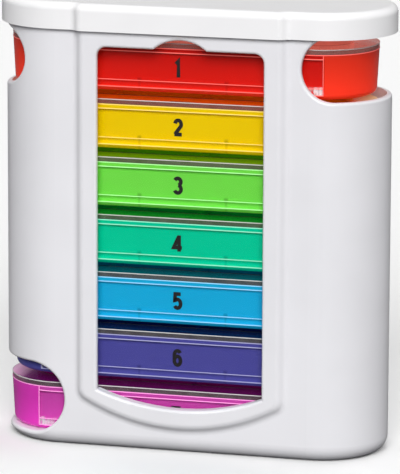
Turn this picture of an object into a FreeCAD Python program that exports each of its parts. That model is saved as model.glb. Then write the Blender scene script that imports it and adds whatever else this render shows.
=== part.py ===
import FreeCAD, Part
import math
import os
import re
import Sketcher

# Weekly pill tower: a moulded casing that holds seven lidded day drawers in a
# stack, under a lift-off cap. Millimetres, +Z up, front towards -Y, origin at
# the middle of the footprint. Every plan outline is a stadium: two half rounds
# about centres at +end_centre and -end_centre along X.

DRAWER_COUNT = 7
QUARTER = math.pi / 2
CLOSE = 1e-3
MOUTH_SAMPLES = 4

SIZES = {
    "end_centre": 41.0,
    # casing
    "casing_wall": 1.6,
    "floor_top": 3.9,
    "foot_round": 5.0,
    "underside_depth": 2.0,
    "foot_width": 2.5,
    "panel_frame": 6.2,
    "panel_raise": 1.9,
    "panel_slope": 45.0,
    "panel_bottom": 8.1,
    "panel_bottom_radius": 64.0,
    "panel_corner": 4.0,
    "panel_edge_round": 2.5,
    "window_half_width": 26.8,
    "window_over_first": 0.1,
    "window_over_last": 1.3,
    "window_sag": 5.1,
    "window_corner": 3.0,
    "thumb_half_width": 8.5,
    "thumb_rise": 3.1,
    "first_exit_headroom": 2.1,
    "last_exit_headroom": 4.2,
    "exit_reach": 38.2,
    "exit_sill_drop": 0.2,
    "finger_radius": 9.2,
    "finger_reach": 51.6,
    "finger_rise": 9.3,
    "mouth_round": 0.9,
    # cap
    "cap_headroom": 1.1,
    "cap_height": 8.5,
    "cap_plate": 2.0,
    "cap_skirt": 1.3,
    "cap_fit": 0.3,
    "cap_top_round": 2.4,
    "cap_step_spread": 0.4,
    "cap_step_round": 0.2,
    "plug_wall": 1.3,
    "plug_depth": 4.0,
    # drawer tray
    "tray_radius": 18.0,
    "tray_clear": 1.4,
    "tray_height": 14.4,
    "tray_wall": 1.5,
    "tray_floor": 1.4,
    "tray_draft": 3.0,
    "tray_foot_round": 2.0,
    "divider_wall": 1.2,
    "divider_pitch": 28.6,
    "divider_drop": 1.4,
    "stack_shift": 1.1,
    "last_shift": 0.8,
    # label strip and its clear cover
    "label_top_drop": 1.3,
    "label_height": 11.4,
    "label_depth": 0.9,
    "label_proud": 0.1,
    "label_wrap": 4.8,
    "label_fit": 0.1,
    # lid
    "lid_edge": 1.6,
    "lid_deck": 2.45,
    "lid_deck_inset": 8.0,
    "lid_skin": 1.2,
    "lid_deck_round": 0.6,
    "tongue_half_length": 36.0,
    "tongue_width": 1.0,
    "tongue_depth": 1.0,
    "tongue_fit": 0.2,
    "bump_half_width": 3.2,
    "bump_width": 1.0,
    "bump_height": 0.6,
}

doc = FreeCAD.newDocument("PillTower")
sheet = doc.addObject("Spreadsheet::Sheet", "Sizes")
for row, (alias, value) in enumerate(SIZES.items(), start=1):
    sheet.set(f"A{row}", alias)
    sheet.set(f"B{row}", str(value))
    sheet.setAlias(f"B{row}", alias)
doc.recompute()

# Lengths that follow from the sizes above, written once.
PITCH = "(tray_height + lid_edge + lid_deck)"
STACK_TOP = f"(floor_top + {DRAWER_COUNT} * {PITCH})"
CAP_BOTTOM = f"({STACK_TOP} + cap_headroom)"
CASING_HEIGHT = f"({CAP_BOTTOM} + cap_height - cap_plate)"
CASING_INNER = "(tray_radius + tray_clear)"
CASING_RADIUS = f"({CASING_INNER} + casing_wall)"
PANEL_FRONT = f"({CASING_RADIUS} + panel_raise)"
PANEL_HALF_WIDTH = "(window_half_width + panel_frame)"
PANEL_SPREAD = "(panel_raise * tan(panel_slope * 1deg) / 2)"
WINDOW_TOP = f"({STACK_TOP} - lid_edge - lid_deck + window_over_first)"
WINDOW_SIDE_BOTTOM = "(floor_top + tray_height + window_over_last)"
FIRST_EXIT_HEIGHT = f"({PITCH} + first_exit_headroom)"
LAST_EXIT_HEIGHT = f"({PITCH} + last_exit_headroom)"
LABEL_HALF_WIDTH = "(end_centre + label_wrap)"
CAP_INNER = f"({CASING_RADIUS} + cap_fit)"
CAP_RADIUS = f"({CAP_INNER} + cap_skirt)"
SEVENTH_SILL = "(floor_top - exit_sill_drop)"
FIRST_SILL = f"(floor_top + {DRAWER_COUNT - 1} * {PITCH} - exit_sill_drop)"
WORD = re.compile(r"[a-z]+_[a-z_]+")


def bound(text):
    """Spreadsheet expression for a length written with the size names."""
    return WORD.sub(lambda match: "Sizes." + match.group(0), text)


def number(text):
    """Present value of a length written with the size names."""
    return float(sheet.evalExpression(bound(text)))


def point(across, up):
    return FreeCAD.Vector(across, up, 0)


def new_body(label, across="0", height="0"):
    """Empty body, set back so that the raised panel and the back are level."""
    body = doc.addObject("PartDesign::Body", label)
    body.Label = label
    body.setExpression("Placement.Base.x", bound(across))
    body.setExpression("Placement.Base.y", bound("panel_raise / 2"))
    body.setExpression("Placement.Base.z", bound(height))
    return body


def plane(body, role):
    return next(item for item in body.Origin.OriginFeatures if item.Role == role)


def new_sketch(body, name, role="XY_Plane", offset="0"):
    sketch = body.newObject("Sketcher::SketchObject", name)
    sketch.AttachmentSupport = [(plane(body, role), "")]
    sketch.MapMode = "FlatFace"
    sketch.setExpression("AttachmentOffset.Base.z", bound(offset))
    return sketch


def constrain(sketch, kind, *items, size=None):
    """Add a constraint, bound to a size when one is given."""
    if size is None:
        return sketch.addConstraint(Sketcher.Constraint(kind, *items))
    index = sketch.addConstraint(Sketcher.Constraint(kind, *items, number(size)))
    sketch.setExpression(f"Constraints[{index}]", bound(size))
    return index


def stadium(sketch, centre, radius):
    """Closed stadium outline about the sketch origin."""
    half = number(centre)
    rim = number(radius)
    up = FreeCAD.Vector(0, 0, 1)
    sketch.addGeometry(Part.LineSegment(point(-half, -rim), point(half, -rim)))
    right = Part.Circle(point(half, 0), up, rim)
    sketch.addGeometry(Part.ArcOfCircle(right, -QUARTER, QUARTER))
    sketch.addGeometry(Part.LineSegment(point(half, rim), point(-half, rim)))
    left = Part.Circle(point(-half, 0), up, rim)
    sketch.addGeometry(Part.ArcOfCircle(left, QUARTER, 3 * QUARTER))
    for first, second in ((0, 1), (1, 2), (2, 3), (3, 0)):
        constrain(sketch, "Tangent", first, 2, second, 1)
    constrain(sketch, "PointOnObject", 1, 3, -1)
    constrain(sketch, "Symmetric", 3, 3, 1, 3, -1, 1)
    constrain(sketch, "Equal", 1, 3)
    constrain(sketch, "Radius", 1, size=radius)
    constrain(sketch, "DistanceX", 3, 3, 1, 3, size=f"2 * {centre}")


def rectangle(sketch, left, right, low, high):
    """Closed rectangle between four lengths measured from the sketch origin."""
    x_low, x_high = number(left), number(right)
    y_low, y_high = number(low), number(high)
    corners = [point(x_low, y_low), point(x_high, y_low), point(x_high, y_high), point(x_low, y_high)]
    for index in range(4):
        sketch.addGeometry(Part.LineSegment(corners[index], corners[(index + 1) % 4]))
    for index in range(4):
        constrain(sketch, "Coincident", index, 2, (index + 1) % 4, 1)
    for index in (0, 2):
        constrain(sketch, "Horizontal", index)
    for index in (1, 3):
        constrain(sketch, "Vertical", index)
    constrain(sketch, "DistanceX", -1, 1, 0, 1, size=left)
    constrain(sketch, "DistanceX", -1, 1, 1, 1, size=right)
    constrain(sketch, "DistanceY", -1, 1, 0, 1, size=low)
    constrain(sketch, "DistanceY", -1, 1, 2, 1, size=high)


def pad(body, sketch, length):
    feature = body.newObject("PartDesign::Pad", "Pad")
    feature.Profile = sketch
    feature.setExpression("Length", bound(length))
    doc.recompute()
    return feature


def pocket(body, sketch, length, both_ways=False, forward=False):
    """Cut from the sketch, against its normal unless told forward."""
    before = body.Shape.Volume
    feature = body.newObject("PartDesign::Pocket", "Pocket")
    feature.Profile = sketch
    feature.Midplane = both_ways
    feature.Reversed = forward
    feature.setExpression("Length", bound(length))
    doc.recompute()
    if body.Shape.Volume >= before:
        raise RuntimeError(f"{body.Label}: {sketch.Label} cuts nothing")
    return feature


def round_edges(body, radius, wanted):
    """Fillet the edges of the body's tip that the test picks."""
    tip = body.Tip
    names = [f"Edge{i}" for i, edge in enumerate(tip.Shape.Edges, start=1) if wanted(edge)]
    if not names:
        raise RuntimeError(f"{body.Label}: no edge to round")
    feature = body.newObject("PartDesign::Fillet", "Fillet")
    feature.Base = (tip, names)
    feature.setExpression("Radius", bound(radius))
    doc.recompute()
    if "Invalid" in feature.State:
        raise RuntimeError(f"{body.Label}: rounding of {radius} fails")
    return feature


def level(edge, height):
    """True where the whole edge lies at one height."""
    box = edge.BoundBox
    return abs(box.ZMin - height) < CLOSE and abs(box.ZMax - height) < CLOSE


# ---------------------------------------------------------------- casing

def panel_outline(sketch):
    """Foot of the raised front panel: straight sides, rounded corners, curved bottom."""
    half = number(f"{PANEL_HALF_WIDTH} + {PANEL_SPREAD}")
    low = number(f"panel_bottom - {PANEL_SPREAD}")
    high = number(f"{CASING_HEIGHT} + panel_raise")
    sweep = number(f"panel_bottom_radius + {PANEL_SPREAD}")
    corner = number(f"panel_corner + {PANEL_SPREAD}")
    hub = low + sweep
    corner_up = hub - ((sweep - corner) ** 2 - (half - corner) ** 2) ** 0.5
    lean = math.asin((half - corner) / (sweep - corner))
    up = FreeCAD.Vector(0, 0, 1)
    bottom = Part.Circle(point(0, hub), up, sweep)
    sketch.addGeometry(Part.ArcOfCircle(bottom, 3 * QUARTER - lean, 3 * QUARTER + lean))
    right = Part.Circle(point(half - corner, corner_up), up, corner)
    sketch.addGeometry(Part.ArcOfCircle(right, lean - QUARTER, 0))
    sketch.addGeometry(Part.LineSegment(point(half, corner_up), point(half, high)))
    sketch.addGeometry(Part.LineSegment(point(half, high), point(-half, high)))
    sketch.addGeometry(Part.LineSegment(point(-half, high), point(-half, corner_up)))
    left = Part.Circle(point(corner - half, corner_up), up, corner)
    sketch.addGeometry(Part.ArcOfCircle(left, 2 * QUARTER, 3 * QUARTER - lean))
    for first, second in ((0, 1), (1, 2), (4, 5), (5, 0)):
        constrain(sketch, "Tangent", first, 2, second, 1)
    for first, second in ((2, 3), (3, 4)):
        constrain(sketch, "Coincident", first, 2, second, 1)
    constrain(sketch, "Horizontal", 3)
    constrain(sketch, "Vertical", 2)
    constrain(sketch, "Vertical", 4)
    constrain(sketch, "Equal", 1, 5)
    constrain(sketch, "PointOnObject", 0, 3, -2)
    constrain(sketch, "Radius", 0, size=f"panel_bottom_radius + {PANEL_SPREAD}")
    constrain(sketch, "Radius", 1, size=f"panel_corner + {PANEL_SPREAD}")
    constrain(sketch, "DistanceX", -1, 1, 2, 2, size=f"{PANEL_HALF_WIDTH} + {PANEL_SPREAD}")
    constrain(sketch, "DistanceX", 4, 1, -1, 1, size=f"{PANEL_HALF_WIDTH} + {PANEL_SPREAD}")
    constrain(sketch, "DistanceY", -1, 1, 0, 3, size="panel_bottom + panel_bottom_radius")
    constrain(sketch, "DistanceY", -1, 1, 2, 2, size=f"{CASING_HEIGHT} + panel_raise")


def window_outline(sketch):
    """Window: rounded upper corners, thumb arc in the top edge, sagging sill."""
    half = number("window_half_width")
    top = number(WINDOW_TOP)
    side = number(WINDOW_SIDE_BOTTOM)
    corner = number("window_corner")
    thumb = number("thumb_half_width")
    up = FreeCAD.Vector(0, 0, 1)
    sill = Part.Arc(
        point(-half, side), point(0, side - number("window_sag")), point(half, side))
    sketch.addGeometry(sill)
    sketch.addGeometry(Part.LineSegment(point(half, side), point(half, top - corner)))
    right = Part.Circle(point(half - corner, top - corner), up, corner)
    sketch.addGeometry(Part.ArcOfCircle(right, 0, QUARTER))
    sketch.addGeometry(Part.LineSegment(point(half - corner, top), point(thumb, top)))
    sketch.addGeometry(Part.Arc(point(thumb, top), point(0, top + number("thumb_rise")), point(-thumb, top)))
    sketch.addGeometry(Part.LineSegment(point(-thumb, top), point(corner - half, top)))
    left = Part.Circle(point(corner - half, top - corner), up, corner)
    sketch.addGeometry(Part.ArcOfCircle(left, QUARTER, 2 * QUARTER))
    sketch.addGeometry(Part.LineSegment(point(-half, top - corner), point(-half, side)))
    for first, second in ((1, 2), (2, 3), (5, 6), (6, 7)):
        constrain(sketch, "Tangent", first, 2, second, 1)
    for first, second in ((0, 1), (3, 4), (4, 5), (7, 0)):
        constrain(sketch, "Coincident", first, 2, second, 1)
    for index in (1, 7):
        constrain(sketch, "Vertical", index)
    for index in (3, 5):
        constrain(sketch, "Horizontal", index)
    constrain(sketch, "Equal", 2, 6)
    constrain(sketch, "Radius", 2, size="window_corner")
    constrain(sketch, "DistanceX", -1, 1, 1, 1, size="window_half_width")
    constrain(sketch, "DistanceX", 7, 2, -1, 1, size="window_half_width")
    constrain(sketch, "DistanceY", -1, 1, 1, 1, size=WINDOW_SIDE_BOTTOM)
    constrain(sketch, "DistanceY", -1, 1, 7, 2, size=WINDOW_SIDE_BOTTOM)
    constrain(sketch, "DistanceY", -1, 1, 3, 1, size=WINDOW_TOP)
    constrain(sketch, "DistanceX", -1, 1, 3, 2, size="thumb_half_width")
    constrain(sketch, "DistanceX", 5, 1, -1, 1, size="thumb_half_width")
    arc_radius = "(({0} * {0} + {1} * {1}) / (2 * {1}))"
    constrain(sketch, "Radius", 0, size=arc_radius.format("window_half_width", "window_sag"))
    constrain(sketch, "Radius", 4, size=arc_radius.format("thumb_half_width", "thumb_rise"))


def exit_outline(sketch, side, sill, height):
    """Drawer exit: a half round towards the middle, open past the casing's end."""
    rim = number(height) / 2
    middle = number(sill) + rim
    inner = side * (number("exit_reach") + rim)
    outer = side * number(f"2 * (end_centre + {CAP_RADIUS})")
    up = FreeCAD.Vector(0, 0, 1)
    circle = Part.Circle(point(inner, middle), up, rim)
    start = QUARTER if side > 0 else -QUARTER
    low, high = middle - rim, middle + rim
    sketch.addGeometry(Part.ArcOfCircle(circle, start, start + 2 * QUARTER))
    first_level, last_level = (low, high) if side > 0 else (high, low)
    sketch.addGeometry(Part.LineSegment(point(inner, first_level), point(outer, first_level)))
    sketch.addGeometry(Part.LineSegment(point(outer, first_level), point(outer, last_level)))
    sketch.addGeometry(Part.LineSegment(point(outer, last_level), point(inner, last_level)))
    constrain(sketch, "Tangent", 0, 2, 1, 1)
    constrain(sketch, "Tangent", 3, 2, 0, 1)
    constrain(sketch, "Coincident", 1, 2, 2, 1)
    constrain(sketch, "Coincident", 2, 2, 3, 1)
    constrain(sketch, "Horizontal", 1)
    constrain(sketch, "Horizontal", 3)
    constrain(sketch, "Vertical", 2)
    constrain(sketch, "Radius", 0, size=f"{height} / 2")
    constrain(sketch, "DistanceY", -1, 1, 0, 3, size=f"{sill} + {height} / 2")
    ends = (-1, 1, 0, 3) if side > 0 else (0, 3, -1, 1)
    constrain(sketch, "DistanceX", *ends, size=f"exit_reach + {height} / 2")


def on_mouth(edge):
    """True for an outside edge of an exit or of the finger notch."""
    box = edge.BoundBox
    seam = box.XLength < CLOSE and box.YLength < CLOSE
    if seam or level(edge, number("foot_round")) or level(edge, number(CASING_HEIGHT)):
        return False
    start, stop = edge.ParameterRange
    for step in range(MOUTH_SAMPLES + 1):
        spot = edge.valueAt(start + (stop - start) * step / MOUTH_SAMPLES)
        beyond = max(0, abs(spot.x) - number("end_centre"))
        off_wall = abs(math.hypot(beyond, spot.y) - number(CASING_RADIUS)) > CLOSE
        if off_wall or abs(spot.x) < number("exit_reach") - CLOSE:
            return False
    return True


def build_casing():
    body = new_body("casing")
    outline = new_sketch(body, "CasingOutline")
    stadium(outline, "end_centre", CASING_RADIUS)
    pad(body, outline, CASING_HEIGHT)
    round_edges(body, "foot_round", lambda edge: level(edge, 0))

    panel = new_sketch(body, "PanelOutline", "XZ_Plane", offset=CASING_RADIUS)
    panel_outline(panel)
    raised = pad(body, panel, "panel_raise")
    raised.setExpression("TaperAngle", bound("-panel_slope"))
    doc.recompute()
    trim = new_sketch(body, "PanelTrim", offset=CASING_HEIGHT)
    rectangle(trim, f"-2 * {PANEL_HALF_WIDTH}", f"2 * {PANEL_HALF_WIDTH}", f"-2 * {PANEL_FRONT}", "0")
    pocket(body, trim, "2 * panel_raise", forward=True)
    front = -number(PANEL_FRONT)
    wall = -number(CASING_RADIUS)
    rim_height = number(CASING_HEIGHT)
    foot_half = number(f"{PANEL_HALF_WIDTH} + {PANEL_SPREAD}") + CLOSE

    def on_panel_edge(edge):
        box = edge.BoundBox
        flat = box.YLength < CLOSE and min(abs(box.YMin - front), abs(box.YMin - wall)) < CLOSE
        return flat and max(-box.XMin, box.XMax) < foot_half and not level(edge, rim_height)

    round_edges(body, "panel_edge_round", on_panel_edge)

    chamber = new_sketch(body, "ChamberOutline", offset=CASING_HEIGHT)
    stadium(chamber, "end_centre", CASING_INNER)
    pocket(body, chamber, f"{CASING_HEIGHT} - floor_top")

    relief = new_sketch(body, "PanelRelief", offset=CASING_HEIGHT)
    relief_half = f"({PANEL_HALF_WIDTH} - casing_wall)"
    rectangle(relief, f"-{relief_half}", relief_half, f"-({PANEL_FRONT} - casing_wall)", "0")
    pocket(body, relief, f"{CASING_HEIGHT} - {WINDOW_SIDE_BOTTOM}")

    underside = new_sketch(body, "UndersideRecess")
    stadium(underside, "end_centre", f"({CASING_RADIUS} - foot_round - foot_width)")
    pocket(body, underside, "underside_depth", forward=True)

    window = new_sketch(body, "WindowOutline", "XZ_Plane")
    window_outline(window)
    pocket(body, window, f"2 * {PANEL_FRONT}", forward=True)

    first_exit = new_sketch(body, "FirstExit", "XZ_Plane")
    exit_outline(first_exit, 1, FIRST_SILL, FIRST_EXIT_HEIGHT)
    pocket(body, first_exit, f"4 * {PANEL_FRONT}", both_ways=True)
    last_exit = new_sketch(body, "LastExit", "XZ_Plane")
    exit_outline(last_exit, -1, SEVENTH_SILL, LAST_EXIT_HEIGHT)
    pocket(body, last_exit, f"4 * {PANEL_FRONT}", both_ways=True)

    finger = new_sketch(body, "FingerNotch", "XZ_Plane")
    finger_height = f"({FIRST_SILL} + finger_rise)"
    centre = point(-number("finger_reach + finger_radius"), number(finger_height))
    finger.addGeometry(Part.Circle(centre, FreeCAD.Vector(0, 0, 1), number("finger_radius")))
    constrain(finger, "Radius", 0, size="finger_radius")
    constrain(finger, "DistanceX", 0, 3, -1, 1, size="finger_reach + finger_radius")
    constrain(finger, "DistanceY", -1, 1, 0, 3, size=finger_height)
    pocket(body, finger, f"4 * {PANEL_FRONT}", both_ways=True)

    def on_window_rim(edge):
        box = edge.BoundBox
        return abs(box.YMin - front) < CLOSE and abs(box.YMax - front) < CLOSE and inside_window(box)

    def inside_window(box):
        half = number("window_half_width") + CLOSE
        return box.XMin >= -half and box.XMax <= half and box.ZMax < rim_height - CLOSE

    round_edges(body, "mouth_round", on_window_rim)
    round_edges(body, "mouth_round", on_mouth)
    return body


# ---------------------------------------------------------------- cap

def bulge_outline(sketch, half_width, wall, front):
    """Plan of the cap's front bulge; its sides slope like those of the panel."""
    foot = f"({half_width} + {PANEL_SPREAD})"
    crest = f"({half_width} - {PANEL_SPREAD})"
    plan = ((foot, "0"), (foot, wall), (crest, front))
    right = [point(number(across), -number(depth)) for across, depth in plan]
    left = [point(-corner.x, corner.y) for corner in reversed(right)]
    corners = right + left
    for index, corner in enumerate(corners):
        sketch.addGeometry(Part.LineSegment(corner, corners[(index + 1) % len(corners)]))
    for index in range(len(corners)):
        constrain(sketch, "Coincident", index, 2, (index + 1) % len(corners), 1)
    for index, (across, depth) in enumerate(plan):
        mirrored = len(corners) - 1 - index
        constrain(sketch, "DistanceX", -1, 1, index, 1, size=across)
        constrain(sketch, "DistanceX", mirrored, 1, -1, 1, size=across)
        if index:
            constrain(sketch, "DistanceY", index, 1, -1, 1, size=depth)
            constrain(sketch, "DistanceY", mirrored, 1, -1, 1, size=depth)
        else:
            constrain(sketch, "PointOnObject", index, 1, -1)
            constrain(sketch, "PointOnObject", mirrored, 1, -1)


def build_cap():
    body = new_body("cap", height=CAP_BOTTOM)
    outline = new_sketch(body, "CapOutline")
    stadium(outline, "end_centre", CAP_RADIUS)
    pad(body, outline, "cap_height")
    bulge_front = f"({PANEL_FRONT} + cap_fit + cap_skirt)"
    bulge = new_sketch(body, "CapBulge")
    bulge_outline(bulge, f"({PANEL_HALF_WIDTH} + cap_step_spread)", CAP_RADIUS, bulge_front)
    pad(body, bulge, "cap_height")
    front = -number(bulge_front)
    wall = -number(CAP_RADIUS)

    def on_step(edge):
        box = edge.BoundBox
        upright = box.XLength < CLOSE and box.ZLength > number("cap_height") - CLOSE
        at_end = abs(abs(box.XMin) - number("end_centre")) < CLOSE
        return upright and not at_end and min(abs(box.YMin - front), abs(box.YMin - wall)) < CLOSE

    round_edges(body, "cap_top_round + cap_step_round", on_step)
    top = number("cap_height")
    round_edges(body, "cap_top_round", lambda edge: level(edge, top))

    hollow = new_sketch(body, "CapHollow")
    stadium(hollow, "end_centre", CAP_INNER)
    pocket(body, hollow, "cap_height - cap_plate", forward=True)
    hollow_bulge = new_sketch(body, "CapHollowBulge")
    bulge_outline(hollow_bulge, f"({PANEL_HALF_WIDTH} + cap_fit)", CAP_INNER, f"({PANEL_FRONT} + cap_fit)")
    pocket(body, hollow_bulge, "cap_height - cap_plate", forward=True)

    plug = new_sketch(body, "CapPlug", offset="cap_height - cap_plate - plug_depth")
    stadium(plug, "end_centre", f"{CASING_INNER} - cap_fit")
    pad(body, plug, "plug_depth")
    core = new_sketch(body, "CapPlugCore", offset="cap_height - cap_plate - plug_depth")
    stadium(core, "end_centre", f"{CASING_INNER} - cap_fit - plug_wall")
    pocket(body, core, "plug_depth", forward=True)
    return body


# ---------------------------------------------------------------- drawers

def strip_outline(sketch, outer, inner, half_width):
    """Thin strip in plan that follows the front and the start of both end rounds."""
    centre = number("end_centre")
    across = number(half_width) - centre
    up = FreeCAD.Vector(0, 0, 1)
    edges = {}
    for name, radius in (("outer", number(outer)), ("inner", number(inner))):
        depth = (radius ** 2 - across ** 2) ** 0.5
        edges[name] = (radius, depth)
    outer_radius, outer_depth = edges["outer"]
    inner_radius, inner_depth = edges["inner"]

    def arc(side, radius, depth):
        circle = Part.Circle(point(side * centre, 0), up, radius)
        turn = circle.parameter(point(side * (centre + across), -depth)) - 3 * QUARTER
        low, high = sorted((3 * QUARTER, 3 * QUARTER + turn))
        return Part.ArcOfCircle(circle, low, high)

    far = centre + across
    sketch.addGeometry(Part.LineSegment(point(-centre, -outer_radius), point(centre, -outer_radius)))
    sketch.addGeometry(arc(1, outer_radius, outer_depth))
    sketch.addGeometry(Part.LineSegment(point(far, -outer_depth), point(far, -inner_depth)))
    sketch.addGeometry(arc(1, inner_radius, inner_depth))
    sketch.addGeometry(Part.LineSegment(point(centre, -inner_radius), point(-centre, -inner_radius)))
    sketch.addGeometry(arc(-1, inner_radius, inner_depth))
    sketch.addGeometry(Part.LineSegment(point(-far, -inner_depth), point(-far, -outer_depth)))
    sketch.addGeometry(arc(-1, outer_radius, outer_depth))
    joins = ((0, 2, 1, 1), (1, 2, 2, 1), (2, 2, 3, 2), (3, 1, 4, 1),
             (4, 2, 5, 2), (5, 1, 6, 1), (6, 2, 7, 1), (7, 2, 0, 1))
    for join in joins:
        constrain(sketch, "Coincident", *join)
    for index in (2, 6):
        constrain(sketch, "Vertical", index)
    for index, text in ((1, outer), (7, outer), (3, inner), (5, inner)):
        constrain(sketch, "Radius", index, size=text)
        constrain(sketch, "PointOnObject", index, 3, -1)
    for index in (1, 3):
        constrain(sketch, "DistanceX", -1, 1, index, 3, size="end_centre")
    for index in (5, 7):
        constrain(sketch, "DistanceX", index, 3, -1, 1, size="end_centre")
    constrain(sketch, "DistanceX", -1, 1, 2, 1, size=half_width)
    constrain(sketch, "DistanceX", 6, 1, -1, 1, size=half_width)
    constrain(sketch, "DistanceX", -1, 1, 0, 2, size="end_centre")
    constrain(sketch, "DistanceX", 0, 1, -1, 1, size="end_centre")
    constrain(sketch, "DistanceX", -1, 1, 4, 1, size="end_centre")
    constrain(sketch, "DistanceX", 4, 2, -1, 1, size="end_centre")


def tray_base(number_from_top):
    """Height of a drawer's underside; the first drawer is the top one."""
    return f"(floor_top + {DRAWER_COUNT - number_from_top} * {PITCH})"


def drawer_across(number_from_top):
    """Sideways place of a drawer; the last one stands a little further out."""
    return "-stack_shift - last_shift" if number_from_top == DRAWER_COUNT else "-stack_shift"


def build_tray(index):
    body = new_body(f"tray_{index}", drawer_across(index), tray_base(index))
    rim = new_sketch(body, "TrayRim", offset="tray_height")
    stadium(rim, "end_centre", "tray_radius")
    block = pad(body, rim, "tray_height")
    block.Reversed = True
    block.setExpression("TaperAngle", bound("-tray_draft"))
    doc.recompute()
    round_edges(body, "tray_foot_round", lambda edge: level(edge, 0))

    inner = "(tray_radius - tray_wall)"
    mouth = new_sketch(body, "TrayMouth", offset="tray_height")
    stadium(mouth, "end_centre", inner)
    cavity = pocket(body, mouth, "tray_height - tray_floor")
    cavity.setExpression("TaperAngle", bound("-tray_draft"))
    doc.recompute()

    divider = new_sketch(body, "Divider", offset="tray_floor / 2")
    reach = "(tray_radius - tray_wall / 2 - tray_height * tan(tray_draft * 1deg))"
    start = "(-divider_pitch - divider_wall / 2)"
    rectangle(divider, start, "(-divider_pitch + divider_wall / 2)", f"-{reach}", reach)
    wall = pad(body, divider, "tray_height - divider_drop - tray_floor / 2")
    row = body.newObject("PartDesign::LinearPattern", "DividerRow")
    row.Originals = [wall]
    row.Direction = (plane(body, "X_Axis"), [""])
    row.Occurrences = 3
    row.setExpression("Length", bound("2 * divider_pitch"))
    body.Tip = row
    doc.recompute()

    label = new_sketch(body, "LabelRecess", offset="tray_height - label_top_drop")
    strip_outline(label, "(tray_radius + label_depth)", "(tray_radius - label_depth)", LABEL_HALF_WIDTH)
    pocket(body, label, "label_height")

    slot = new_sketch(body, "TongueSlot", offset="tray_height")
    slot_outer = f"({inner} + tongue_fit / 2)"
    slot_inner = f"({inner} - 2 * tongue_fit - tongue_width)"
    rectangle(slot, "-2 * end_centre", "2 * end_centre", slot_inner, slot_outer)
    pocket(body, slot, "tongue_depth + tongue_fit")
    return body


def build_lid(index):
    body = new_body(f"lid_{index}", drawer_across(index), f"{tray_base(index)} + tray_height")
    plate = new_sketch(body, "LidPlate")
    stadium(plate, "end_centre", "tray_radius")
    pad(body, plate, "lid_edge")
    deck = new_sketch(body, "LidDeck", offset="lid_edge")
    stadium(deck, "end_centre", "(tray_radius - lid_deck_inset)")
    pad(body, deck, "lid_deck")
    top = number("lid_edge + lid_deck")
    round_edges(body, "lid_deck_round", lambda edge: level(edge, top))
    hollow = new_sketch(body, "LidHollow")
    stadium(hollow, "end_centre", "(tray_radius - lid_deck_inset - lid_skin)")
    pocket(body, hollow, "lid_edge + lid_deck - lid_skin", forward=True)
    tongue = new_sketch(body, "Tongue", offset="-tongue_depth")
    outer = "(tray_radius - tray_wall - tongue_fit)"
    rectangle(tongue, "-tongue_half_length", "tongue_half_length", f"{outer} - tongue_width", outer)
    pad(body, tongue, "tongue_depth")
    bump = new_sketch(body, "ThumbBump", offset="lid_edge")
    rectangle(bump, "-bump_half_width", "bump_half_width", "-tray_radius", "-(tray_radius - bump_width)")
    pad(body, bump, "bump_height")
    return body


def build_cover(index):
    height = f"{tray_base(index)} + tray_height - label_top_drop - label_height + label_fit"
    body = new_body(f"label_cover_{index}", drawer_across(index), height)
    strip = new_sketch(body, "CoverStrip")
    strip_outline(strip, "(tray_radius + label_proud)",
                  "(tray_radius - label_depth + label_fit)", f"({LABEL_HALF_WIDTH} - label_fit)")
    pad(body, strip, "label_height - 2 * label_fit")
    return body


def export(bodies):
    os.makedirs("parts", exist_ok=True)
    doc.recompute()
    for item in doc.Objects:
        if "Invalid" in item.State or "Error" in item.State:
            raise RuntimeError(f"{item.Label}: {item.State}")
    for body in bodies:
        shape = body.Shape
        if shape.isNull() or not shape.isValid() or len(shape.Solids) != 1:
            raise RuntimeError(f"{body.Label}: no single valid solid")
    for body in bodies:
        body.Shape.exportStep(f"parts/{body.Label}.step")
        box = body.Shape.BoundBox
        print(f"{body.Label:16s} volume {body.Shape.Volume:9.1f}  z {box.ZMin:7.2f} to {box.ZMax:7.2f}")


made = [build_casing(), build_cap()]
for drawer in range(1, DRAWER_COUNT + 1):
    made.append(build_tray(drawer))
    made.append(build_lid(drawer))
    made.append(build_cover(drawer))
export(made)
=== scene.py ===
import math

import bmesh
import bpy
from mathutils import Matrix, Vector


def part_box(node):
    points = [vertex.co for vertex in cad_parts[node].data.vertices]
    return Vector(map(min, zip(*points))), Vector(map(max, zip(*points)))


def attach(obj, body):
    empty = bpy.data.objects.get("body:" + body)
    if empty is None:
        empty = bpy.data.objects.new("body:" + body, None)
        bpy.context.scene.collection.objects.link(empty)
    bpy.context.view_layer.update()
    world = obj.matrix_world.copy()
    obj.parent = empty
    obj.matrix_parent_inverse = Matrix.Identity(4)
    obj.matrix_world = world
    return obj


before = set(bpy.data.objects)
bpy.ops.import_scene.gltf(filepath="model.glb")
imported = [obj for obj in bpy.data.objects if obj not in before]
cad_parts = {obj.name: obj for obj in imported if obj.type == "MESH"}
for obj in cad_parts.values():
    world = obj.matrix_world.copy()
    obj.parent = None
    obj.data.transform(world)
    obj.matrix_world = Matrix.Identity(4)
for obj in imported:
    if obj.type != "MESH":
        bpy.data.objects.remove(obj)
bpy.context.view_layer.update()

MM = 0.001
DRAWERS = range(1, 8)

# The label on each tray's front: levels are measured down from the tray's rim, and the half
# width from the tray's middle.
LABEL_TOP = 1.3 * MM
LABEL_LINE = 10.45 * MM
LABEL_FOOT = 12.6 * MM
LABEL_HALF = 45.7 * MM
LABEL_RECESS = 0.9 * MM

# Two T marks near the label's line. Each pair says where a shade starts to change and where
# the change ends, sideways from the mark or down from the rim.
MARK_SHIFT = 0.7 * MM
MARK_REACH = 14.05 * MM
MARK_BAR_HALF = (0.4 * MM, 0.9 * MM)
MARK_BAR_TOP = (9.4 * MM, 10.1 * MM)
MARK_BAR_FOOT = 10.6 * MM
MARK_STEM_HALF = (0.2 * MM, 0.5 * MM)
MARK_STEM_SHARE = 0.5
MARK_SHADE = 0.66

# How far the raised deck's top stands above the lid's plate.
LID_DECK = 2.45 * MM


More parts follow.
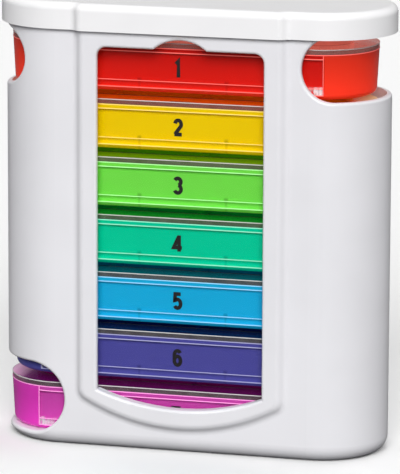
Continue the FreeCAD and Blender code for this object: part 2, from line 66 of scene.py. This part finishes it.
# ---------------------------------------------------------------- nodes

def material(name):
    made = bpy.data.materials.new(name)
    made.use_nodes = True
    tree = made.node_tree
    tree.nodes.clear()
    shader = tree.nodes.new("ShaderNodeBsdfPrincipled")
    output = tree.nodes.new("ShaderNodeOutputMaterial")
    tree.links.new(shader.outputs[0], output.inputs["Surface"])
    shader.inputs["IOR"].default_value = 1.49
    return made, tree, shader


def maths(tree, operation, first, second=0.0):
    """Math node on one or two values, each a socket or a number."""
    made = tree.nodes.new("ShaderNodeMath")
    made.operation = operation
    for slot, value in enumerate((first, second)):
        if isinstance(value, (int, float)):
            made.inputs[slot].default_value = value
        else:
            tree.links.new(value, made.inputs[slot])
    return made.outputs[0]


def product(tree, first, *others):
    for other in others:
        first = maths(tree, "MULTIPLY", first, other)
    return first


def distance(tree, value, centre):
    return maths(tree, "ABSOLUTE", maths(tree, "SUBTRACT", value, centre))


def spread(tree, source, low, high, start=0.3, stop=0.7):
    """Map a value from start..stop onto low..high, and hold it at both ends."""
    made = tree.nodes.new("ShaderNodeMapRange")
    made.inputs["From Min"].default_value = start
    made.inputs["From Max"].default_value = stop
    made.inputs["To Min"].default_value = low
    made.inputs["To Max"].default_value = high
    tree.links.new(source, made.inputs["Value"])
    return made.outputs[0]


def noise(tree, scale, detail=2.0, stretch=None):
    place = tree.nodes.new("ShaderNodeTexCoord").outputs["Object"]
    if stretch:
        mapping = tree.nodes.new("ShaderNodeMapping")
        mapping.inputs["Scale"].default_value = stretch
        tree.links.new(place, mapping.inputs["Vector"])
        place = mapping.outputs[0]
    made = tree.nodes.new("ShaderNodeTexNoise")
    made.inputs["Scale"].default_value = scale
    made.inputs["Detail"].default_value = detail
    tree.links.new(place, made.inputs["Vector"])
    return made.outputs[0]


def blend(tree, factor, first, second):
    """Mix two colours, each a socket or an RGB triple."""
    made = tree.nodes.new("ShaderNodeMix")
    made.data_type = "RGBA"
    for slot, value in ((6, first), (7, second)):
        if isinstance(value, tuple):
            made.inputs[slot].default_value = (*value, 1)
        else:
            tree.links.new(value, made.inputs[slot])
    tree.links.new(factor, made.inputs[0])
    return made.outputs[2]


def shaded(tree, colour, level):
    """A colour socket times a value socket."""
    grey = tree.nodes.new("ShaderNodeCombineColor")
    for channel in range(3):
        tree.links.new(level, grey.inputs[channel])
    made = tree.nodes.new("ShaderNodeMix")
    made.data_type = "RGBA"
    made.blend_type = "MULTIPLY"
    made.inputs[0].default_value = 1.0
    tree.links.new(colour, made.inputs[6])
    tree.links.new(grey.outputs[0], made.inputs[7])
    return made.outputs[2]


def position(tree):
    """X and Z in the resting frame."""
    place = tree.nodes.new("ShaderNodeTexCoord")
    split = tree.nodes.new("ShaderNodeSeparateXYZ")
    tree.links.new(place.outputs["Object"], split.inputs[0])
    return split.outputs["X"], split.outputs["Z"]


def tilt(tree):
    """0 where a face is upright, 1 where it is flat."""
    place = tree.nodes.new("ShaderNodeTexCoord")
    facing = tree.nodes.new("ShaderNodeSeparateXYZ")
    tree.links.new(place.outputs["Normal"], facing.inputs[0])
    return maths(tree, "ABSOLUTE", facing.outputs["Z"])


def glance(tree):
    """0 where a face is seen square on, rising to 1 where it is seen edge on."""
    made = tree.nodes.new("ShaderNodeLayerWeight")
    made.inputs["Blend"].default_value = 0.5
    return made.outputs["Facing"]


def uneven_gloss(tree, shader, scale, low, high):
    tree.links.new(spread(tree, noise(tree, scale), low, high), shader.inputs["Roughness"])


def flow_waves(tree, shader):
    """Waves of up to 0.02 mm, as moulding leaves them."""
    wave = tree.nodes.new("ShaderNodeBump")
    wave.inputs["Strength"].default_value = 0.3
    wave.inputs["Distance"].default_value = 0.02 * MM
    tree.links.new(noise(tree, 160.0), wave.inputs["Height"])
    tree.links.new(wave.outputs[0], shader.inputs["Normal"])


def camera_sees(tree, seen, hidden, output):
    """One shader for the camera's own rays and another for all the rest."""
    path = tree.nodes.new("ShaderNodeLightPath")
    choice = tree.nodes.new("ShaderNodeMixShader")
    tree.links.new(path.outputs["Is Camera Ray"], choice.inputs[0])
    tree.links.new(hidden.outputs[0], choice.inputs[1])
    tree.links.new(seen.outputs[0], choice.inputs[2])
    tree.links.new(choice.outputs[0], output.inputs["Surface"])


def scaled(colour, factor):
    return tuple(min(1.0, channel * factor) for channel in colour)


def paler(colour, step):
    return tuple(min(1.0, channel + step) for channel in colour)


# ---------------------------------------------------------------- materials

# Scales of the noise in tone, in the gloss of moulded plastic and in that of clear plastic.
DRIFT_SCALE = 45.0
MOULDED_SCALE = 420.0
CLEAR_SCALE = 300.0


def moulded(name, colour, roughness, tone=0.02, painted_glow=0.0):
    """Moulded plastic: slight tone drift, uneven gloss and faint flow waves; its painted glow
    stands in for light passed on through it."""
    made, tree, shader = material(name)
    drift = spread(tree, noise(tree, DRIFT_SCALE), 0.0, 1.0)
    base = blend(tree, drift, scaled(colour, 1 - tone), scaled(colour, 1 + tone))
    tree.links.new(base, shader.inputs["Base Color"])
    if painted_glow:
        shader.inputs["Emission Color"].default_value = (*colour, 1)
        shader.inputs["Emission Strength"].default_value = painted_glow
    uneven_gloss(tree, shader, MOULDED_SCALE, roughness * 0.88, roughness * 1.12)
    flow_waves(tree, shader)
    shader.inputs["Specular IOR Level"].default_value = 0.4
    return made


def t_marks(tree, x, drop, middle):
    """1 on the bars of the two T marks and less on their stems; drop is measured down from
    the rim."""
    off_mark = distance(tree, distance(tree, x, middle + MARK_SHIFT), MARK_REACH)
    bar = product(tree, spread(tree, off_mark, 1.0, 0.0, *MARK_BAR_HALF),
                  spread(tree, drop, 0.0, 1.0, *MARK_BAR_TOP),
                  maths(tree, "LESS_THAN", drop, MARK_BAR_FOOT))
    stem = product(tree, spread(tree, off_mark, 1.0, 0.0, *MARK_STEM_HALF),
                   maths(tree, "GREATER_THAN", drop, MARK_BAR_FOOT))
    return maths(tree, "ADD", bar, product(tree, stem, MARK_STEM_SHARE))


# Strength of the painted glow at a tray's foot.
TRAY_PAINTED_GLOW = 0.16


def tray_plastic(name, colour, label, middle, rim, height, painted_fade):
    """Translucent tray: painted shade and light run its colour from one strength at the rim to
    another at the foot, a painted glow lights the foot a little, and the label's ground has a
    colour of its own."""
    made, tree, shader = material(name)
    at_rim, at_foot, start = painted_fade
    x, z = position(tree)
    # Painted shade and light: the tray's colour strength and its painted glow change from the
    # rim down to the foot.
    painted_light_mask = spread(tree, z, 0.0, 1.0, rim - start * height, rim - height)
    drift = spread(tree, noise(tree, DRIFT_SCALE), 0.98, 1.02)
    mark = t_marks(tree, x, maths(tree, "SUBTRACT", rim, z), middle)
    level = product(tree, spread(tree, painted_light_mask, at_rim, at_foot, 0.0, 1.0), drift,
                    spread(tree, mark, 1.0, MARK_SHADE, 0.0, 1.0))
    on_label = product(tree, maths(tree, "LESS_THAN", distance(tree, x, middle), LABEL_HALF),
                       maths(tree, "GREATER_THAN", z, rim - LABEL_FOOT))
    base = shaded(tree, blend(tree, on_label, colour, label), level)
    tree.links.new(base, shader.inputs["Base Color"])
    # Painted glow at the foot, standing in for light passed on through the tray.
    shader.inputs["Emission Color"].default_value = (*colour, 1)
    painted_glow = spread(tree, painted_light_mask, 0.0, TRAY_PAINTED_GLOW, 0.0, 1.0)
    tree.links.new(painted_glow, shader.inputs["Emission Strength"])
    uneven_gloss(tree, shader, MOULDED_SCALE, 0.19, 0.25)
    flow_waves(tree, shader)
    shader.inputs["Specular IOR Level"].default_value = 0.2
    shader.inputs["Coat Weight"].default_value = 0.05
    shader.inputs["Coat Roughness"].default_value = 0.10
    shader.inputs["Subsurface Weight"].default_value = 0.3
    shader.inputs["Subsurface Radius"].default_value = (1.0, 1.0, 1.0)
    shader.inputs["Subsurface Scale"].default_value = 1.5 * MM
    return made


# Opacity of a cover seen square on, and what is added to it where it is seen edge on.
FILM_VEIL = 0.004
FILM_EDGE = 0.6
# Painted glints, as white streaks: where they start and where they are full, from the cover's
# middle; how far below and above the label's line they fade out; their grain and their opacity.
STREAK_REACH = (39.0 * MM, 43.0 * MM)
STREAK_BELOW = 0.1 * MM
STREAK_ABOVE = 0.4 * MM
STREAK_STRETCH = (700.0, 1.0, 260.0)
STREAK_ALPHA = 0.65


def film(name, middle, label_line):
    """Clear cover: only its gloss shows, with painted glints as white streaks at its two lower
    corners.
    """
    made, tree, shader = material(name)
    rise = maths(tree, "POWER", glance(tree), 4.0)
    thin = maths(tree, "ADD", product(tree, rise, FILM_EDGE), FILM_VEIL)
    x, z = position(tree)
    # Painted glints: white streaks at the cover's two lower corners, just round the label's
    # line.
    at_end = spread(tree, distance(tree, x, middle), 0.0, 1.0, *STREAK_REACH)
    at_foot = spread(tree, z, 1.0, 0.0, label_line - STREAK_BELOW, label_line + STREAK_ABOVE)
    grain = noise(tree, 1.0, 3.0, stretch=STREAK_STRETCH)
    streak = spread(tree, grain, 0.0, STREAK_ALPHA, 0.42, 0.66)
    painted_glint = product(tree, at_end, at_foot, streak)
    tree.links.new(maths(tree, "ADD", thin, painted_glint), shader.inputs["Alpha"])
    # Metallic leaves the clear part nothing but its gloss; the painted glint streaks are plain
    # white.
    tree.links.new(maths(tree, "LESS_THAN", painted_glint, 0.01), shader.inputs["Metallic"])
    tint = spread(tree, noise(tree, 60.0), 0.0, 1.0)
    base = blend(tree, tint, (0.92, 0.93, 0.95), (1.0, 1.0, 1.0))
    tree.links.new(base, shader.inputs["Base Color"])
    uneven_gloss(tree, shader, CLEAR_SCALE, 0.035, 0.07)
    return made


EDGE_GREY = (0.115, 0.105, 0.10)
EDGE_ALPHA = 0.66
# How far above the plate a face still counts as its edge.
EDGE_SLACK = 0.05 * MM
# Where the painted light of the bare ends starts and where it is full, from the lid's middle.
PAINTED_BARE_REACH = (51.0 * MM, 57.5 * MM)
BLACK = (0.0, 0.0, 0.0)


def lid_plastic(name, painted_gap_light, painted_bare_light, plate_top, middle, painted_glow, wall):
    """Clear lid: its upright edge is grey. Its flats carry painted light and shade: the colours
    of the trays beside it, as light bounced between them in the shaded gap, with a painted glow,
    turning to paler painted light at the two ends, which no tray covers."""
    made, tree, shader = material(name)
    x, z = position(tree)
    upright = maths(tree, "LESS_THAN", tilt(tree), 0.5)
    is_edge = product(tree, upright, maths(tree, "LESS_THAN", z, plate_top + EDGE_SLACK))
    streak = spread(tree, noise(tree, 240.0, 4.0), 0.0, 1.0)
    grey = blend(tree, streak, scaled(EDGE_GREY, 0.75), scaled(EDGE_GREY, 1.25))
    # Painted shade and light: the gap's colour where a tray covers the flats, paler painted
    # light at the bare ends.
    painted_covered_light = blend(tree, streak, scaled(painted_gap_light, 0.9), scaled(painted_gap_light, 1.1))
    at_end = spread(tree, distance(tree, x, middle), 0.0, 1.0, *PAINTED_BARE_REACH)
    painted_flat_light = blend(tree, at_end, painted_covered_light, painted_bare_light)
    tree.links.new(blend(tree, is_edge, painted_flat_light, grey), shader.inputs["Base Color"])
    # Painted glow on the flats only.
    tree.links.new(blend(tree, is_edge, painted_flat_light, BLACK), shader.inputs["Emission Color"])
    shader.inputs["Emission Strength"].default_value = painted_glow
    flat_alpha = spread(tree, glance(tree), 0.12, 0.85, 0.35, 0.85)
    flat_alpha = maths(tree, "MAXIMUM", flat_alpha, product(tree, upright, wall))
    alpha = tree.nodes.new("ShaderNodeMix")
    tree.links.new(is_edge, alpha.inputs[0])
    tree.links.new(flat_alpha, alpha.inputs[2])
    alpha.inputs[3].default_value = EDGE_ALPHA
    tree.links.new(alpha.outputs[0], shader.inputs["Alpha"])
    uneven_gloss(tree, shader, CLEAR_SCALE, 0.10, 0.20)
    shader.inputs["Specular IOR Level"].default_value = 0.3
    return made


def dress(name, made):
    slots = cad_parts[name].data.materials
    slots.clear()
    slots.append(made)


def new_object(name, mesh, made, body):
    mesh.materials.clear()
    mesh.materials.append(made)
    piece = bpy.data.objects.new(name, mesh)
    bpy.context.scene.collection.objects.link(piece)
    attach(piece, body)
    return piece


# ---------------------------------------------------------------- camera

IMAGE_HEIGHT = 474.0
SENSOR = 36.0
YAW = math.radians(14.947)
PITCH = math.radians(11.759)
ROLL = math.radians(0.228)
FOCAL_PX = 4181.73
DISTANCE = 1.326927
TARGET = Vector((0.735, 0.95, 65.84)) * MM


def direction(azimuth, elevation):
    """Unit vector away from the object; azimuth is measured from the front towards +X."""
    flat = math.cos(elevation)
    return Vector((math.sin(azimuth) * flat, -math.cos(azimuth) * flat, math.sin(elevation)))


def rotation(back, roll):
    right = Vector((-back.y, back.x, 0)).normalized()
    up = back.cross(right)
    turned = math.cos(roll) * right + math.sin(roll) * up
    lifted = -math.sin(roll) * right + math.cos(roll) * up
    return Matrix((turned, lifted, back)).transposed().to_4x4()


back = direction(YAW, PITCH)
camera_data = bpy.data.cameras.new("camera")
camera_data.sensor_width = SENSOR
# The image is taller than it is wide, so the sensor's width spans its height.
camera_data.lens = FOCAL_PX * SENSOR / IMAGE_HEIGHT
camera_data.clip_start = 0.05
camera_data.clip_end = 20.0
camera = bpy.data.objects.new("camera", camera_data)
camera.matrix_world = Matrix.Translation(TARGET + back * DISTANCE) @ rotation(back, ROLL)
bpy.context.scene.collection.objects.link(camera)
bpy.context.scene.camera = camera

# ---------------------------------------------------------------- dress the CAD

TRAY_COLOURS = {
    1: (0.85, 0.036, 0.014),
    2: (0.82, 0.57, 0.0),
    3: (0.17, 0.69, 0.070),
    4: (0.0, 0.55, 0.31),
    5: (0.008, 0.39, 0.67),
    6: (0.071, 0.069, 0.31),
    7: (0.69, 0.043, 0.46),
}
# A label's ground, where it isn't its tray's colour.
LABEL_COLOURS = {1: (0.57, 0.006, 0.004), 7: (0.52, 0.056, 0.36)}
# Painted shade and light on each tray: colour strength at its rim and foot, and the share of its
# height, down from the rim, at which the change starts.
TRAY_PAINTED_FADE = {1: (0.84, 1.16, 0.0), 7: (1.0, 1.15, 0.3)}
PLAIN_PAINTED_FADE = (1.0, 1.2, 0.78)
# Painted light in each lid's flats: the colour of light that has passed both the tray above and
# the tray below it, in the shaded gap between them.
GAP_PAINTED_LIGHT = {
    1: (0.62, 0.15, 0.11),
    2: (0.50, 0.06, 0.0),
    3: (0.12, 0.25, 0.0),
    4: (0.0, 0.18, 0.012),
    5: (0.0, 0.08, 0.11),
    6: (0.0, 0.006, 0.05),
    7: (0.08, 0.0, 0.055),
}
# Painted light on a lid's bare ends, where it isn't a pale mix of its tray's colour.
LID_PAINTED_ENDS = {1: (0.52, 0.17, 0.14)}
# Strength of a lid's painted glow, and how opaque the walls of its raised deck are.
LID_PAINTED_GLOW_AND_WALL = {1: (0.5, 0.9)}
PLAIN_PAINTED_GLOW_AND_WALL = (0.4, 0.0)


# Painted light for a lid's bare ends: a pale mix of its tray's colour.
def painted_pale_mix(colour):
    return tuple(0.55 * channel + 0.35 for channel in colour)


dress("casing", moulded("casing_white", (0.80, 0.795, 0.825), 0.34))
dress("cap", moulded("cap_white", (0.90, 0.895, 0.905), 0.34))
for day in DRAWERS:
    low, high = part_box(f"tray_{day}")
    middle = (low.x + high.x) / 2
    rim = high.z
    colour = TRAY_COLOURS[day]
    label = LABEL_COLOURS.get(day, colour)
    painted_fade = TRAY_PAINTED_FADE.get(day, PLAIN_PAINTED_FADE)
    dress(f"tray_{day}", tray_plastic(f"tray_{day}_plastic", colour, label, middle, rim,
                                      rim - low.z, painted_fade))
    plate_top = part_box(f"lid_{day}")[1].z - LID_DECK
    painted_bare_light = LID_PAINTED_ENDS.get(day, painted_pale_mix(colour))
    dress(f"lid_{day}", lid_plastic(f"lid_{day}_clear", GAP_PAINTED_LIGHT[day], painted_bare_light, plate_top,
                                    middle, *LID_PAINTED_GLOW_AND_WALL.get(day, PLAIN_PAINTED_GLOW_AND_WALL)))
    dress(f"label_cover_{day}", film(f"cover_{day}_film", middle, rim - LABEL_LINE))

# ---------------------------------------------------------------- beads, painted highlight lines

# How far the centres of a drawer's round ends are from its middle.
END_CENTRE = 41.0 * MM
LINE = 0.30 * MM
FINE_LINE = 0.8 * LINE
RIM_PROUD = 0.06 * MM
RIM_DEPTH = 0.3 * MM
LABEL_PROUD = 0.16 * MM
LABEL_DEPTH = 0.15 * MM
POST_WIDTH = 0.24 * MM
POST_DROP = 0.35 * MM
LABEL_BEADS = (
    ("top", LABEL_TOP, LINE),
    ("line", LABEL_LINE, FINE_LINE),
    ("foot", LABEL_FOOT, LINE),
)
# How much paler than its tray a bead is, for its painted highlight.
BEAD_HIGHLIGHT_PALER = {1: 0.13, 2: 0.16}
PLAIN_HIGHLIGHT_PALER = 0.28
# Painted glow of the beads, part of their painted highlight.
BEAD_PAINTED_GLOW = 0.22

# Pale line along each lid's plate edge: a painted highlight.
lid_highlight_line = moulded("lid_highlight_line", (0.72, 0.71, 0.70), 0.15)


def stadium_path(centre, radius, reach=None):
    """Points and outward directions along a drawer's front, up to reach on each side of its
    middle, or all the way round it if there is no reach."""
    turn = math.asin(min(1.0, (reach - END_CENTRE) / radius)) if reach else math.pi
    steps = 10 if reach else 40
    path = []
    for side in (-1, 1):
        hub = Vector((centre.x + side * END_CENTRE, centre.y))
        for step in range(steps + 1):
            share = step / steps
            angle = turn * (1 - share if side < 0 else share)
            out = Vector((side * math.sin(angle), -math.cos(angle)))
            path.append((hub + out * radius, out))
    return path


def band_mesh(name, path, low, high, depth, closed=False):
    """Slim bar of rectangular section that follows a path in plan."""
    mesh = bpy.data.meshes.new(name)
    bm = bmesh.new()
    rings = []
    for spot, out in path:
        inner = spot - out * depth
        rings.append([bm.verts.new((p.x, p.y, z)) for p, z in
                      ((spot, low), (spot, high), (inner, high), (inner, low))])
    pairs = list(zip(rings, rings[1:]))
    if closed:
        pairs.append((rings[-1], rings[0]))
    for first, second in pairs:
        for k in range(4):
            n = (k + 1) % 4
            bm.faces.new((first[k], first[n], second[n], second[k]))
    if not closed:
        bm.faces.new(rings[0])
        bm.faces.new(list(reversed(rings[-1])))
    bmesh.ops.recalc_face_normals(bm, faces=bm.faces)
    bm.to_mesh(mesh)
    bm.free()
    return mesh


def post_path(spot, out, side):
    """Short path along the front, from one end of the label towards its middle."""
    along = Vector((-out.y, out.x)) * side
    return [(spot, out), (spot + along * POST_WIDTH, out)]


# Thin strips along each tray's rim and label edges, paler than the tray and glowing, and a pale
# strip along each lid's edge: painted highlight lines.
for day in DRAWERS:
    highlight_colour = paler(TRAY_COLOURS[day], BEAD_HIGHLIGHT_PALER.get(day, PLAIN_HIGHLIGHT_PALER))
    highlight_bead = moulded(f"bead_{day}_clear", highlight_colour, 0.15, painted_glow=BEAD_PAINTED_GLOW)
    low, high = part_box(f"tray_{day}")
    centre = (low + high) / 2
    radius = (high.y - low.y) / 2
    rim = high.z
    body = f"drawer_{day}"
    loop = stadium_path(centre, radius + RIM_PROUD)
    mesh = band_mesh(f"rim_highlight_line_{day}", loop, rim - LINE, rim, RIM_DEPTH, closed=True)
    new_object(f"rim_highlight_line_{day}", mesh, highlight_bead, body)
    path = stadium_path(centre, radius + LABEL_PROUD, LABEL_HALF)
    for tag, drop, thick in LABEL_BEADS:
        mesh = band_mesh(f"label_{tag}_{day}", path, rim - drop - thick, rim - drop, LABEL_DEPTH)
        new_object(f"label_{tag}_{day}", mesh, highlight_bead, body)
    for tag, end, side in (("left", path[0], 1), ("right", path[-1], -1)):
        mesh = band_mesh(f"label_{tag}_{day}", post_path(*end, side),
                         rim - LABEL_FOOT - LINE, rim - POST_DROP, LABEL_DEPTH)
        new_object(f"label_{tag}_{day}", mesh, highlight_bead, body)
    plate_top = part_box(f"lid_{day}")[1].z - LID_DECK
    body = {1: "lid_of_1", 7: "lid_of_7"}.get(day, body)
    mesh = band_mesh(f"lid_highlight_line_{day}", loop, plate_top - FINE_LINE, plate_top, RIM_DEPTH,
                     closed=True)
    new_object(f"lid_highlight_line_{day}", mesh, lid_highlight_line, body)

# ---------------------------------------------------------------- numerals

NUMERAL_WIDE = 2.8 * MM
NUMERAL_HIGH = 5.2 * MM
NUMERAL_LEFT = 0.8 * MM
NUMERAL_DROP = 6.6 * MM
STROKE_HALF = 0.60 * MM
# Strokes of one numeral lie in steps, so that no two faces coincide where they cross.
STROKE_STEP = 0.008 * MM
INK_PROUD = 0.045 * MM
INK_DEPTH = 0.03 * MM

ink = moulded("ink", (0.010, 0.008, 0.009), 0.5, tone=0.2)


def arc(cx, cy, rx, ry, start, stop, steps=18):
    points = []
    for step in range(steps + 1):
        angle = math.radians(start + (stop - start) * step / steps)
        points.append((cx + rx * math.cos(angle), cy + ry * math.sin(angle)))
    return points


# Strokes of each numeral's centre line, in a box 1 wide and 1 high.
STROKES = {
    1: [[(0.22, 0.80), (0.52, 0.99), (0.52, 0.0)]],
    2: [arc(0.5, 0.70, 0.36, 0.24, 170, -28) + [(0.12, 0.08)], [(0.07, 0.08), (0.93, 0.08)]],
    3: [arc(0.48, 0.74, 0.36, 0.205, 155, -80), arc(0.48, 0.29, 0.38, 0.235, 82, -158)],
    4: [[(0.98, 0.24), (0.04, 0.24), (0.66, 0.97)], [(0.66, 1.0), (0.66, 0.0)]],
    5: [[(0.86, 0.92), (0.22, 0.92), (0.18, 0.52)] + arc(0.48, 0.32, 0.37, 0.27, 130, -150)],
    6: [arc(0.5, 0.68, 0.36, 0.26, 30, 178) + [(0.14, 0.33)],
        arc(0.5, 0.33, 0.36, 0.27, 180, 540, 36)],
    7: [[(0.08, 0.92), (0.92, 0.92), (0.42, 0.0)]],
}


def ribbon(path):
    """Both sides of a stroke, square at its ends."""
    points = [Vector((x * NUMERAL_WIDE, y * NUMERAL_HIGH)) for x, y in path]
    left, right = [], []
    for index, here in enumerate(points):
        before = points[max(0, index - 1)]
        after = points[min(len(points) - 1, index + 1)]
        entry = (here - before).normalized() if index else (after - here).normalized()
        leave = (after - here).normalized() if index < len(points) - 1 else entry
        mean = (entry + leave).normalized()
        side = Vector((-mean.y, mean.x))
        reach = STROKE_HALF / max(0.45, mean.dot(entry))
        left.append(here + side * reach)
        right.append(here - side * reach)
    return left, right


def numeral_mesh(day, centre, front):
    mesh = bpy.data.meshes.new(f"numeral_{day}")
    bm = bmesh.new()
    for layer, stroke in enumerate(STROKES[day]):
        left, right = ribbon(stroke)
        face = front - layer * STROKE_STEP
        for index in range(len(left) - 1):
            ring = [left[index], right[index], right[index + 1], left[index + 1]]
            lower, upper = [], []
            for spot in ring:
                x = centre.x - NUMERAL_WIDE / 2 + spot.x
                z = centre.z - NUMERAL_HIGH / 2 + spot.y
                lower.append(bm.verts.new((x, face, z)))
                upper.append(bm.verts.new((x, front + INK_DEPTH, z)))
            bm.faces.new(lower)
            bm.faces.new(list(reversed(upper)))
            for k in range(4):
                n = (k + 1) % 4
                bm.faces.new((lower[n], lower[k], upper[k], upper[n]))
    bmesh.ops.recalc_face_normals(bm, faces=bm.faces)
    bm.to_mesh(mesh)
    bm.free()
    return mesh


for day in DRAWERS:
    low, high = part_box(f"tray_{day}")
    centre = Vector(((low.x + high.x) / 2 - NUMERAL_LEFT, 0, high.z - NUMERAL_DROP))
    mesh = numeral_mesh(day, centre, low.y + LABEL_RECESS - INK_PROUD)
    new_object(f"numeral_{day}", mesh, ink, f"drawer_{day}")

# ---------------------------------------------------------------- stage

FLOOR_HALF = 3.0
FLOOR_SEEN = (0.97, 0.97, 0.97)
FLOOR_BOUNCE = (0.16, 0.16, 0.165)
FLOOR_MIRRORED = (0.14, 0.14, 0.14)
SKY_STRENGTH = 0.27
SKY_SIDE_LOSS = 0.5
WHITE = (1, 1, 1, 1)


def stage_material():
    """White floor to the camera; darker to bounced light and in reflections."""
    made, tree, shader = material("floor_white")
    shader.inputs["Base Color"].default_value = (*FLOOR_SEEN, 1)
    shader.inputs["Roughness"].default_value = 0.9
    shader.inputs["Specular IOR Level"].default_value = 0.0
    path = tree.nodes.new("ShaderNodeLightPath")
    hidden = tree.nodes.new("ShaderNodeBsdfDiffuse")
    tint = blend(tree, path.outputs["Is Glossy Ray"], FLOOR_BOUNCE, FLOOR_MIRRORED)
    tree.links.new(tint, hidden.inputs["Color"])
    output = next(item for item in tree.nodes if item.type == "OUTPUT_MATERIAL")
    camera_sees(tree, shader, hidden, output)
    return made


mesh = bpy.data.meshes.new("floor")
corners = [(FLOOR_HALF * x, FLOOR_HALF * y, 0) for x, y in ((-1, -1), (1, -1), (1, 1), (-1, 1))]
mesh.from_pydata(corners, [], [(0, 1, 2, 3)])
mesh.materials.append(stage_material())
floor = bpy.data.objects.new("floor", mesh)
bpy.context.scene.collection.objects.link(floor)

world = bpy.data.worlds.new("studio")
bpy.context.scene.world = world
world.use_nodes = True
tree = world.node_tree
tree.nodes.clear()
place = tree.nodes.new("ShaderNodeTexCoord")
way = tree.nodes.new("ShaderNodeSeparateXYZ")
tree.links.new(place.outputs["Generated"], way.inputs[0])
sideways = maths(tree, "POWER", maths(tree, "ABSOLUTE", way.outputs["X"]), 1.5)
dim = maths(tree, "SUBTRACT", 1.0, product(tree, sideways, SKY_SIDE_LOSS))
light = tree.nodes.new("ShaderNodeBackground")
light.inputs["Color"].default_value = WHITE
tree.links.new(product(tree, dim, SKY_STRENGTH), light.inputs["Strength"])
shown = tree.nodes.new("ShaderNodeBackground")
shown.inputs["Color"].default_value = WHITE
camera_sees(tree, shown, light, tree.nodes.new("ShaderNodeOutputWorld"))


def sun(name, azimuth, elevation, strength, softness, gleams=True):
    """Distant lamp, with its angles in degrees; gleams says whether reflections show it."""
    data = bpy.data.lights.new(name, "SUN")
    data.energy = strength
    data.angle = math.radians(softness)
    away = direction(math.radians(azimuth), math.radians(elevation))
    lamp = bpy.data.objects.new(name, data)
    lamp.rotation_euler = away.to_track_quat("Z", "Y").to_euler()
    lamp.visible_glossy = gleams
    bpy.context.scene.collection.objects.link(lamp)


sun("key", 14.0, 33.0, 3.1, 34.0)
sun("top", 155.0, 81.0, 0.28, 12.0)
sun("fill_left", 240.0, 16.0, 0.75, 40.0, gleams=False)
sun("fill_right", 138.0, 16.0, 0.65, 40.0, gleams=False)

bpy.context.scene.view_settings.view_transform = "Standard"
